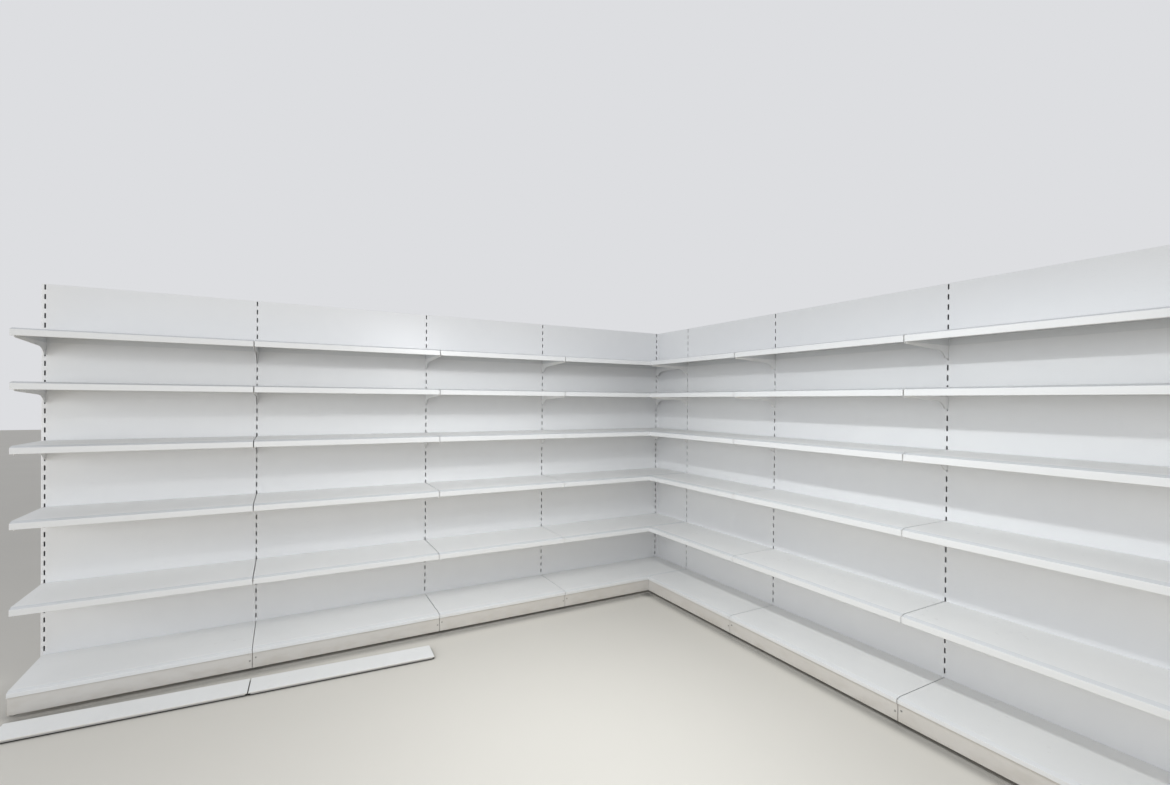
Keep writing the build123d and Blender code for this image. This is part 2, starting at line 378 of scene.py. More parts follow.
class MaterialSheet(Sheet):
    """The node tree of a new material."""

    def __init__(self, name: str) -> None:
        """Make the material with its own shader.

        Args:
            name: The material's name.
        """
        self.material = bpy.data.materials.new(name)
        self.material.use_nodes = True
        super().__init__(self.material.node_tree)

    def effect(self, effect: Effect, **inputs: object) -> Sockets:
        """Place a shared effect with this material's own values and return its outputs."""
        return self.node("ShaderNodeGroup", inputs, node_tree=EFFECTS.group(effect)).outputs

    def coat(self, height: Socket | None = None, depth: float = 0.0,
             **inputs: object) -> Material:
        """Feed the material's shader.

        Args:
            height: The height of its bump, if it has one.
            depth: The bump's depth in metres.
            inputs: Values or sockets for the shader, with _ for a space.

        Returns:
            The finished material.
        """
        shader = self.tree.nodes["Principled BSDF"]
        for key, value in inputs.items():
            self.feed(shader.inputs[key.replace("_", " ")], value)
        if height:
            bump = self.node("ShaderNodeBump", {"Height": height, "Distance": depth,
                                                "Strength": 1.0})
            self.feed(shader.inputs["Normal"], bump.outputs[0])
        return self.material


@dataclass(frozen=True)
class CoatedSteel:
    """A powder-coated sheet finish, with linear colours and patterns scaled per metre."""
    name: str
    slot: Slot
    coat: Colour
    cast: Colour
    # The up-facing film's tone: dust, and painted light from above where it is lighter than the
    # coat.
    dust_tone: Colour = linear(245, 245, 244)
    scuff_tone: Colour = linear(158, 158, 156)
    grime_and_low_shade_tone: Colour = linear(150, 141, 124)
    roughness: float = 0.34
    mottle: float = 0.55
    patch_scale: float = 2.6
    peel_scale: float = 430.0
    peel: float = 0.00007
    peel_rough: float = 0.16
    dust: float = 0.30
    dust_scale: float = 3.4
    dust_rough: float = 0.25
    scuff: float = 0.30
    scuff_scale: float = 34.0
    scuff_rough: float = 0.2
    grime_and_low_shade_height: float = 0.10
    grime_and_low_shade: float = 0.0
    rub: float = 0.0
    rub_pitch: float = 0.050

    @cache
    def build(self) -> Material:
        """Make the material, whose colour, roughness and bump change over the surface.

        Returns:
            The material.
        """
        sheet = MaterialSheet(self.name)
        colour = sheet.effect(Effect.MOTTLE, Coat=self.coat, Cast=self.cast,
                              Patch=self.patch_scale, Amount=self.mottle)["Color"]
        peel = sheet.effect(Effect.PEEL, Scale=self.peel_scale)
        dust = sheet.effect(Effect.DUST_AND_TOP_LIGHT, Amount=self.dust, Patch=self.dust_scale)["Mask"]
        scuff = sheet.effect(Effect.SCUFF, Amount=self.scuff, Scale=self.scuff_scale)["Mask"]
        # Blend in the up-facing film: dust, and painted light from above on the shelves' decks and
        # the loose plates.
        colour = sheet.blend(dust, colour, self.dust_tone)
        colour = sheet.blend(scuff, colour, self.scuff_tone)
        rough = sheet.plus(sheet.times(peel["Fine"], self.peel_rough),
                           self.roughness - self.peel_rough / 2)
        rough = sheet.plus(rough, sheet.times(dust, self.dust_rough))
        rough = sheet.plus(rough, sheet.times(scuff, self.scuff_rough), clamp=True)
        # Darken towards the floor: dirt, and painted shade low on the plinth.
        if self.grime_and_low_shade:
            grime_and_low_shade = sheet.effect(Effect.GRIME_AND_LOW_SHADE, Height=self.grime_and_low_shade_height, Amount=self.grime_and_low_shade)
            colour = sheet.blend(grime_and_low_shade["Mask"], colour, self.grime_and_low_shade_tone)
        if self.rub:
            rub = sheet.effect(Effect.RUB, Amount=self.rub, Pitch=self.rub_pitch)
            colour = sheet.blend(rub["Mask"], colour, self.scuff_tone)
        return sheet.coat(peel["Height"], self.peel, Base_Color=colour, Roughness=rough)


@dataclass(frozen=True)
class PlainMetal:
    """Bright zinc-plated steel for screws, studs and nuts."""
    name: str
    slot: Slot
    bright: Colour = linear(172, 172, 168)
    dull: Colour = linear(128, 127, 122)
    roughness: float = 0.36

    @cache
    def build(self) -> Material:
        """Make the material: a mottled plating, duller where it is rougher.

        Returns:
            The material.
        """
        sheet = MaterialSheet(self.name)
        cloud = sheet.noise(260.0, 4.0, seed=2.0)
        mask = sheet.band(cloud, 0.38, 0.66)
        return sheet.coat(cloud, 0.00004, Base_Color=sheet.blend(mask, self.bright, self.dull),
                          Roughness=sheet.plus(sheet.times(mask, 0.25), self.roughness),
                          Metallic=1.0)


@dataclass(frozen=True)
class MouldedFoot:
    """Grey moulded plastic of the levelling feet, dusty and dirty at floor level."""
    name: str
    slot: Slot
    body: Colour = linear(206, 206, 203)
    dirt: Colour = linear(128, 121, 108)
    roughness: float = 0.55

    @cache
    def build(self) -> Material:
        """Make the material: a fine moulded grain under floor dirt.

        Returns:
            The material.
        """
        sheet = MaterialSheet(self.name)
        cloud = sheet.noise(90.0, 5.0, seed=1.0)
        mask = sheet.times(sheet.band(cloud, 0.40, 0.68), 0.55)
        return sheet.coat(sheet.noise(1500.0, 2.0, seed=3.0), 0.00005,
                          Base_Color=sheet.blend(mask, self.body, self.dirt),
                          Roughness=sheet.plus(sheet.times(cloud, 0.25), self.roughness - 0.1))


Finish = CoatedSteel | PlainMetal | MouldedFoot
UPRIGHT_COAT = CoatedSteel("upright_coat", Slot.UPRIGHT, linear(232, 233, 234),
                           linear(225, 226, 229), rub=0.18, dust=0.2)
# Lighter than the shelves' white: painted light that lifts the shade under the shelves.
PANEL_COAT_PAINTED_LIGHT = CoatedSteel("panel_coat_painted_light", Slot.PANEL, linear(227, 228, 229), linear(223, 224, 226),
                         patch_scale=1.4, scuff=0.10)
# Lighter than the other whites: painted light on the brackets, which hang in the shade under the
# shelves.
BRACKET_COAT_PAINTED_LIGHT = CoatedSteel("bracket_coat_painted_light", Slot.BRACKET, linear(240, 240, 240),
                           linear(234, 235, 236))
# Darker than the panels' white to take light off the fronts: painted shade; the full up-facing film
# lightens the decks again as painted light from above.
SHELF_COAT_PAINTED_LIGHT_AND_SHADE = CoatedSteel("shelf_coat_painted_light_and_shade", Slot.SHELF, linear(218, 220, 222), linear(214, 216, 218),
                         dust=0.97, scuff=0.12)
# Darker than the loose plates' white, though they are the same plates: painted shade on the
# plinth's face.
PLINTH_COAT_PAINTED_SHADE = CoatedSteel("plinth_coat_painted_shade", Slot.PLINTH, linear(201, 199, 196),
                          linear(196, 194, 190), grime_and_low_shade=0.30, scuff=0.12, dust=0.4)
# The full up-facing film lightens the loose plates' faces: painted light from above.
LOOSE_COAT = CoatedSteel("loose_plate_coat", Slot.PLINTH, linear(214, 213, 210),
                         linear(208, 207, 203), scuff=0.16, dust=1.0)
LEG_COAT = CoatedSteel("leg_coat", Slot.LEG, linear(190, 190, 188), linear(178, 177, 174),
                       grime_and_low_shade=0.6, dust=0.5, dust_tone=linear(168, 163, 152))
FOOT_PLASTIC = MouldedFoot("foot_plastic", Slot.FOOT)
ZINC_PLATE = PlainMetal("zinc_plate", Slot.LEG)


# Sheet-metal shapes, in millimetres

def of_kind(geometry: Iterable[object], kind: type) -> list:
    """Return the elements of one kind from an operator's result."""
    return [element for element in geometry if isinstance(element, kind)]


def chain(shape: BMesh, points: Iterable[Sequence[float]]) -> list[BMEdge]:
    """Draw an open line through points and return its edges."""
    return [shape.edges.new(pair) for pair in pairs([shape.verts.new(at) for at in points])]


def sweep(shape: BMesh, edges: Sequence[BMEdge], along: Sequence[float]) -> list[BMEdge]:
    """Extrude edges along a vector.

    Args:
        shape: The shape that is drawn on.
        edges: The edges.
        along: How far and which way they are drawn.

    Returns:
        The edges at the far end.
    """
    drawn = bmesh.ops.extrude_edge_only(shape, edges=edges)["geom"]
    fresh = of_kind(drawn, BMVert)
    bmesh.ops.translate(shape, verts=fresh, vec=along)
    known = set(fresh)
    return [edge for edge in of_kind(drawn, BMEdge) if known.issuperset(edge.verts)]


def push(shape: BMesh, faces: Sequence[BMFace], along: Sequence[float]) -> list[BMFace]:
    """Extrude faces along a vector.

    Args:
        shape: The shape that is drawn on.
        faces: The faces.
        along: How far and which way they are drawn.

    Returns:
        The faces at the far end.
    """
    drawn = bmesh.ops.extrude_face_region(shape, geom=faces)["geom"]
    bmesh.ops.translate(shape, verts=of_kind(drawn, BMVert), vec=along)
    return of_kind(drawn, BMFace)


def inner_edges(shape: BMesh, angle: float = -1.0) -> list[BMEdge]:
    """Return the edges between two faces that turn by more than an angle, in degrees."""
    return [edge for edge in shape.edges
            if len(edge.link_faces) == 2 and edge.calc_face_angle() > math.radians(angle)]


def bevel(shape: BMesh, edges: Sequence[BMEdge], width: float, segments: int = 4,
          clamp: bool = False) -> None:
    """Round edges off by a width, kept from overlapping where clamp is set."""
    bmesh.ops.bevel(shape, geom=edges, offset=width, offset_type="OFFSET", segments=segments,
                    profile=0.5, affect="EDGES", material=-1, clamp_overlap=clamp)


def soften(shape: BMesh, width: float, segments: int = 1, angle: float = 50.0) -> BMesh:
    """Bevel the edges of a closed shape that turn by more than an angle, in degrees.

    Args:
        shape: The closed shape.
        width: The bevel's width.
        segments: Its steps.
        angle: The least turn that is bevelled, in degrees.

    Returns:
        The same shape.
    """
    bevel(shape, inner_edges(shape, angle), width, segments, clamp=True)
    bmesh.ops.dissolve_degenerate(shape, dist=SLIVER, edges=shape.edges[:])
    return shape


def outward(shape: BMesh) -> BMesh:
    """Merge doubles and turn the faces outwards.

    Args:
        shape: The shape.

    Returns:
        The same shape.
    """
    bmesh.ops.remove_doubles(shape, verts=shape.verts, dist=WELD)
    bmesh.ops.recalc_face_normals(shape, faces=shape.faces)
    return shape


def as_sheet(shape: BMesh, behind: Sequence[float], thickness: float, edge: float = 0.25,
             angle: float = 50.0) -> BMesh:
    """Give an open surface a sheet's thickness.

    Args:
        shape: The surface, which becomes the sheet's outer side.
        behind: A point behind its widest face.
        thickness: The thickness.
        edge: The softening of its edges.
        angle: The least turn, in degrees, that is softened.

    Returns:
        The closed, softened shape.
    """
    bmesh.ops.recalc_face_normals(shape, faces=shape.faces)
    widest = max(shape.faces, key=lambda face: face.calc_area())
    if widest.normal.dot(widest.calc_center_median() - Vector(behind)) < 0:
        bmesh.ops.reverse_faces(shape, faces=shape.faces[:])
    bmesh.ops.solidify(shape, geom=shape.faces[:], thickness=thickness)
    return soften(outward(shape), edge, angle=angle)


def folded(profile: Sequence[Point], span: Span, thickness: float, radius: float) -> BMesh:
    """Fold a sheet along a line and run it along X.

    Args:
        profile: The sheet's outer line in (y, z), bent round its own middle.
        span: The two ends in X.
        thickness: The sheet's thickness.
        radius: How far from each fold its bend starts.

    Returns:
        The closed, softened shape.
    """
    shape = bmesh.new()
    line = chain(shape, [(span[0], y, z) for y, z in profile])
    sweep(shape, line, (span[1] - span[0], 0, 0))
    bevel(shape, inner_edges(shape), radius)
    middle = [sum(values) / len(profile) for values in zip(*profile)]
    return as_sheet(shape, (span[0], *middle), thickness, 0.2)


def plate(outline: Sequence[Point], low: float, thickness: float, edge: float = 0.25) -> BMesh:
    """Make a flat plate.

    Args:
        outline: Its corners in (y, z).
        low: The X of its left face.
        thickness: The thickness.
        edge: The softening of its edges.

    Returns:
        The closed, softened plate.
    """
    shape = bmesh.new()
    face = shape.faces.new([shape.verts.new((low, y, z)) for y, z in outline])
    push(shape, [face], (thickness, 0, 0))
    return soften(outward(shape), edge)


def bar(x: Span, y: Span, z: Span, edge: float = 0.3) -> BMesh:
    """Make a solid bar.

    Args:
        x: Its limits in X.
        y: Its limits in Y.
        z: Its limits in Z.
        edge: The softening of its edges.

    Returns:
        The closed, softened bar.
    """
    shape = bmesh.new()
    size = Matrix.Diagonal((x[1] - x[0], y[1] - y[0], z[1] - z[0], 1.0))
    middle = Matrix.Translation((sum(x) / 2, sum(y) / 2, sum(z) / 2))
    bmesh.ops.create_cube(shape, size=1.0, matrix=middle @ size)
    return soften(shape, edge)


def turned(profile: Sequence[Point], at: Point, steps: int = 40) -> BMesh:
    """Spin a (radius, z) profile once round the vertical through a point.

    Args:
        profile: A line in (radius, z) that starts and ends on the axis.
        at: Where the axis stands in (x, y).
        steps: The sides of the turn.

    Returns:
        The closed shape.
    """
    shape = bmesh.new()
    line = chain(shape, [(radius, 0, z) for radius, z in profile])
    bmesh.ops.spin(shape, geom=shape.verts[:] + line, cent=(0, 0, 0), axis=(0, 0, 1),
                   angle=math.tau, steps=steps, use_merge=True)
    bmesh.ops.translate(shape, verts=shape.verts[:], vec=(*at, 0))
    return outward(shape)


class Workpiece:
    """Collects shapes in millimetres and finishes them as one piece in the model's frame."""

    def __init__(self, name: str) -> None:
        """Start an empty piece with its name."""
        self.name = name
        self.mesh = bmesh.new()

    def add(self, shapes: Iterable[BMesh], at: Matrix | None = None) -> "Workpiece":
        """Take in shapes.

        Args:
            shapes: The finished shapes, which are used up.
            at: Where they go, as a transform in millimetres.

        Returns:
            This piece.
        """
        for shape in shapes:
            if at:
                bmesh.ops.transform(shape, matrix=at, verts=shape.verts[:])
            held = bpy.data.meshes.new("held")
            shape.to_mesh(held)
            shape.free()
            self.mesh.from_mesh(held)
            bpy.data.meshes.remove(held)
        return self

    def finish(self, place: Matrix, finish: Finish, *nodes: str, slot: Slot | None = None) -> None:
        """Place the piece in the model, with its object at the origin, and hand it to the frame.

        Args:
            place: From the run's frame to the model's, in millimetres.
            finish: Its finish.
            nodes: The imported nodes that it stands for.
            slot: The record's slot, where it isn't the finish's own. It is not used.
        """
        self.mesh.transform(Matrix.Scale(MM, 4) @ place)
        for face in self.mesh.faces:
            face.smooth = True
        data = bpy.data.meshes.new(self.name)
        self.mesh.to_mesh(data)
        self.mesh.free()
        data.set_sharp_from_angle(angle=SHARP_ANGLE)
        data.materials.append(finish.build())
        piece = link(self.name, data)
        piece.modifiers.new("even_normals", "WEIGHTED_NORMAL").keep_sharp = True
        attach(piece, "root")
        if nodes:
            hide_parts(*nodes)
        LOG.info("%s: %d faces", self.name, len(data.polygons))


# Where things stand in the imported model

def node_box(name: str) -> tuple[Vector, Vector]:
    """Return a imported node's two corners in millimetres, in the model's frame."""
    low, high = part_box(name)
    return low / MM, high / MM


@dataclass(frozen=True)
class Layout:
    """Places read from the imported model.

    corner is where both runs' front planes meet, uprights are the centre lines along each run
    and decks the heights of the upper shelves.
    """
    corner: Vector
    uprights: dict[Run, list[float]]
    decks: list[float]
    top: float

    @classmethod
    def read(cls) -> "Layout":
        """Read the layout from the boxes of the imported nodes.

        Returns:
            The layout.
        """
        first = node_box("left_upright_1")
        corner = Vector((node_box("right_upright_1")[0].x, first[0].y, 0.0))
        uprights: dict[Run, list[float]] = {Run.LEFT: [], Run.RIGHT: []}
        for run, axis, sign in ((Run.LEFT, 0, 1.0), (Run.RIGHT, 1, -1.0)):
            count = sum(name.startswith(f"{run.title}_upright_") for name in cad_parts)
            for number in range(1, count + 1):
                low, high = node_box(f"{run.title}_upright_{number}")
                uprights[run].append(round(sign * ((low[axis] + high[axis]) / 2 - corner[axis]), 2))
        decks = [round(node_box(f"left_shelves_{level}")[1].z, 2) for level in range(1, 6)]
        return cls(corner, uprights, decks, round(first[1].z, 2))

    def place(self, run: Run) -> Matrix:
        """Return the transform from a run's frame to the model's, in millimetres."""
        return Matrix.Translation(self.corner) @ run.turn


# The sub-assemblies

@dataclass
class Upright:
    """A slotted rectangular tube, closed at its top and bottom."""
    corner: float = 3.0
    bottom: float = 18.0
    slot_width: float = 7.0
    slot_height: float = 28.0
    slot_sides: int = 16
    pitch: float = 50.0
    top_drop: float = 17.0
    slots: int = 39
    strip: float = 11.0
    strip_steps: Point = (6.0, 2.0)
    strip_level: float = 8.0
    rim: float = 0.35
    cap_rise: float = 0.4
    cap_drop: float = 0.6
    cap_depth: float = 1.8
    cap_play: float = 0.1

    def centres(self, top: float) -> list[float]:
        """Return the heights of the slots, from the top down."""
        return [top - self.top_drop - self.pitch * number for number in range(self.slots)]

    def _window(self, shape: BMesh, centre: float) -> None:
        """Add one pitch of the front strip, a frame of faces round a slot.

        Args:
            shape: The shape that the frame is added to.
            centre: The height of the slot's centre.
        """
        radius, half = self.slot_width / 2, self.pitch / 2
        straight = self.slot_height / 2 - radius
        step_angle = 360 / self.slot_sides
        spin = (Matrix.Rotation(math.radians(90), 4, "X") @
                Matrix.Rotation(math.radians(step_angle / 2), 4, "Z"))
        ring = bmesh.ops.create_circle(shape, cap_ends=False, radius=radius,
                                       segments=self.slot_sides, matrix=spin)["verts"]
        edges = dict.fromkeys(edge for vert in ring for edge in vert.link_edges)
        outer = of_kind(bmesh.ops.extrude_edge_only(shape, edges=list(edges))["geom"], BMVert)
        across = (self.strip, self.strip, *self.strip_steps)
        for vert in outer:
            side, level = math.copysign(1, vert.co.x), math.copysign(1, vert.co.z)
            turn = math.degrees(math.atan2(abs(vert.co.z), abs(vert.co.x)))
            step = round(turn / step_angle - 0.5)
            vert.co.x = side * across[step]
            vert.co.z = level * (self.strip_level if step == 0 else half)
        for vert in ring:
            vert.co.z += math.copysign(straight, vert.co.z)
        bmesh.ops.translate(shape, verts=ring + outer, vec=(0, 0, centre))

    def build(self, centre: float, top: float) -> list[BMesh]:
        """Make the tube.

        Args:
            centre: The X of its centre line.
            top: The height of its top.

        Returns:
            The tube, its front at y = 0, and the caps in its two ends.
        """
        shape = bmesh.new()
        for height in self.centres(top):
            self._window(shape, height)
        bmesh.ops.remove_doubles(shape, verts=shape.verts, dist=NEAR)
        foot_line = min(vert.co.z for vert in shape.verts)
        lowest = [edge for edge in shape.edges
                  if all(abs(vert.co.z - foot_line) < NEAR for vert in edge.verts)]
        sweep(shape, lowest, (0, 0, self.bottom - foot_line))
        bmesh.ops.bisect_plane(shape, geom=shape.verts[:] + shape.edges[:] + shape.faces[:],
                               plane_co=(0, 0, top), plane_no=(0, 0, 1), clear_outer=True)
        for side in (-1.0, 1.0):
            edges = [edge for edge in shape.edges if edge.is_boundary and
                     all(abs(vert.co.x - side * self.strip) < NEAR for vert in edge.verts)]
            for along in ((side * (UPRIGHT_HALF - self.strip), 0, 0), (0, UPRIGHT_DEPTH, 0),
                          (-side * UPRIGHT_HALF, 0, 0)):
                edges = sweep(shape, edges, along)
        bmesh.ops.remove_doubles(shape, verts=shape.verts, dist=NEAR)
        bevel(shape, inner_edges(shape, 60), self.corner, 3)
        shapes = [as_sheet(shape, (0, UPRIGHT_DEPTH / 2, 0), UPRIGHT_WALL, self.rim),
                  self.cap(self.bottom + self.cap_rise),
                  self.cap(top - self.cap_drop - self.cap_depth)]
        for part in shapes:
            bmesh.ops.translate(part, verts=part.verts[:], vec=(centre, 0, 0))
        return shapes

    def cap(self, low: float) -> BMesh:
        """Make a plate that closes the tube.

        Args:
            low: The height of its underside.

        Returns:
            The plate.
        """
        play = UPRIGHT_WALL + self.cap_play
        half = UPRIGHT_HALF - play
        return bar((-half, half), (play, UPRIGHT_DEPTH - play), (low, low + self.cap_depth), 0.4)


@dataclass
class BackPanel:
    """A flat sheet over the uprights' faces, turned back along its top and bottom."""
    sheet: float = 1.0
    bottom: float = 100.0
    flange: float = 15.0
    slit: float = 9.0
    inset: float = 16.0

    def build(self, bay: Span, top: float) -> BMesh:
        """Make a bay's panel.

        Args:
            bay: The bay's two centre lines.
            top: The height of its top.

        Returns:
            The folded sheet, its face one sheet proud of the uprights.
        """
        shape = bmesh.new()
        low, high = bay[0] + self.slit / 2, bay[1] - self.slit / 2
        line = chain(shape, [(low, -self.sheet, z) for z in (self.bottom, top)])
        for start, end in pairs((low, bay[0] + self.inset, bay[1] - self.inset, high)):
            line = sweep(shape, line, (end - start, 0, 0))
        rims = [edge for edge in shape.edges if edge.is_boundary and
                all(low + 1 < vert.co.x < high - 1 for vert in edge.verts)]
        sweep(shape, rims, (0, self.flange + self.sheet, 0))
        return as_sheet(shape, (low, self.flange, top), self.sheet)


@dataclass
class CornerPanel:
    """The folded filler in the corner: a narrow strip and the wide right-hand part."""
    sheet: float = 1.0
    bottom: float = 100.0
    slit: float = 9.0
    flange: float = 15.0
    flange_lap: float = 0.2
    gap: float = 1.0
    fold: float = 1.6
    strip_start: float = 7.5
    lap: float = 3.5

    def build(self, layout: Layout) -> list[BMesh]:
        """Make the filler.

        Args:
            layout: Where the runs stand.

        Returns:
            Its face and its two rear flanges, in the left run's frame.
        """
        start = layout.uprights[Run.LEFT][-1] + self.strip_start
        first = -layout.uprights[Run.RIGHT][0]
        plan = [(start, -self.sheet), (-self.sheet, -self.sheet),
                (-self.sheet, first + self.slit / 2 - self.lap)]
        shape = bmesh.new()
        line = chain(shape, [(x, y, self.bottom) for x, y in plan])
        sweep(shape, line, (0, 0, layout.top - self.bottom))
        bevel(shape, inner_edges(shape), self.fold)
        back = (first + UPRIGHT_HALF + self.gap, -self.sheet)
        return [as_sheet(shape, (self.flange, 0, 0), self.sheet)] + [
            bar((-self.flange_lap, self.flange), back, (low, low + self.sheet), 0.25)
            for low in (self.bottom, layout.top - self.sheet)]


@dataclass
class Shelf:
    """A folded tray: deck, sloping nose, front, hem, side flanges and rear flange."""
    reach: float = 375.0
    front_height: float = 38.0
    nose_drop: float = 8.0
    nose_depth: float = 25.0
    hem: float = 12.0
    flange: float = 36.0
    back: float = -2.0
    sheet: float = 1.0
    bend: float = 1.8
    flange_gap: float = 4.4
    tuck: float = 0.25

    def build(self, deck: float, span: Span, bay: Span) -> list[BMesh]:
        """Make one bay's shelf.

        Args:
            deck: The height of its top.
            span: The two ends of the deck and the front.
            bay: The centre lines that its side flanges stand in from.

        Returns:
            Its folded skin, side flanges and rear flange.
        """
        front, hem_line = -self.reach, deck - self.front_height
        floor, under = deck - self.flange, deck - self.sheet
        start, rear = front + self.nose_depth, self.back - self.sheet
        profile = [(front + self.hem, hem_line), (front, hem_line),
                   (front, deck - self.nose_drop), (start, deck), (self.back, deck)]
        end = rear + self.sheet / 2
        outline = [(start, under), (end, under), (end, floor), (start, floor)]
        low, high = bay[0] + self.flange_gap, bay[1] - self.flange_gap
        return [folded(profile, span, self.sheet, self.bend),
                plate(outline, low, self.sheet), plate(outline, high - self.sheet, self.sheet),
                bar((low + self.tuck, high - self.tuck), (rear, self.back),
                    (floor + self.tuck, under - self.tuck), 0.2)]


@dataclass
class Bracket:
    """A cantilever of thick sheet, hooked through the slots and cut to an arc underneath."""
    shelf: Shelf
    sheet: float = 1.8
    near: float = 2.2
    height: float = 100.0
    foot: float = 24.0
    waist: float = 60.0
    bend: float = 90.0
    tip: float = 45.0
    setback: float = 14.0
    nose: float = 12.0
    tongue: float = 13.0
    tongue_drop: float = 10.0
    tongue_inside: float = 5.0
    tongue_rest: float = 12.5
    seat: float = 0.3
    arc_steps: int = 14
    edge: float = 0.4

    def _hooks(self, top: float, foot: float, slots: Sequence[float]) -> list[Point]:
        """Draw the back edge from the foot up.

        Args:
            top: The height of its upper edge.
            foot: The height of its foot.
            slots: The heights of the upright's slots.

        Returns:
            The corners in (y, z), with a hook in each slot.
        """
        corners = [(0.0, foot)]
        throat, deep = UPRIGHT_WALL + self.seat, UPRIGHT_WALL + self.tongue_inside
        for centre in sorted(slots):
            if foot < centre < top:
                low = max(centre - self.tongue_rest, foot + self.seat)
                high, tip = low + self.tongue, low - self.tongue_drop
                corners += [(0.0, low), (throat, low), (throat, tip), (deep, tip), (deep, high),
                            (0.0, high)]
        return corners + [(0.0, top)]

    def _arc(self, deck: float) -> list[Point]:
        """Draw the arc under the bracket.

        Args:
            deck: The height of the shelf's deck.

        Returns:
            Its points in (y, z), from the straight lower edge to the foot.
        """
        start = Vector((0.0, -self.bend, deck - self.waist))
        end = Vector((0.0, -self.foot, deck - self.height))
        along = Vector((0.0, self.shelf.reach - self.setback - self.bend, self.tip - self.waist))
        normal = Vector((0.0, along.z, -along.y)).normalized()
        chord = end - start
        centre = start + normal * chord.length_squared / (2 * normal.dot(chord))
        shape = bmesh.new()
        bmesh.ops.spin(shape, geom=[shape.verts.new(start)], cent=centre, axis=(-1, 0, 0),
                       angle=(start - centre).angle(end - centre), steps=self.arc_steps)
        points = sorted((vert.co.y, vert.co.z) for vert in shape.verts)
        shape.free()
        return points

    def build(self, centre: float, side: int, deck: float, slots: Sequence[float]) -> BMesh:
        """Make one bracket.

        Args:
            centre: The upright's centre line.
            side: -1 or 1, the side of that line.
            deck: The height of the shelf's deck.
            slots: The heights of the upright's slots.

        Returns:
            The closed, softened plate.
        """
        top = deck - self.shelf.sheet
        front = -self.shelf.reach + self.setback
        start = -self.shelf.reach + self.shelf.nose_depth + self.shelf.sheet
        outline = [(start, top), (front, deck - self.nose), (front, deck - self.tip),
                   *self._arc(deck), *self._hooks(top, deck - self.height, slots)]
        aside = self.near if side > 0 else -self.near - self.sheet
        return plate(outline, centre + aside, self.sheet, self.edge)


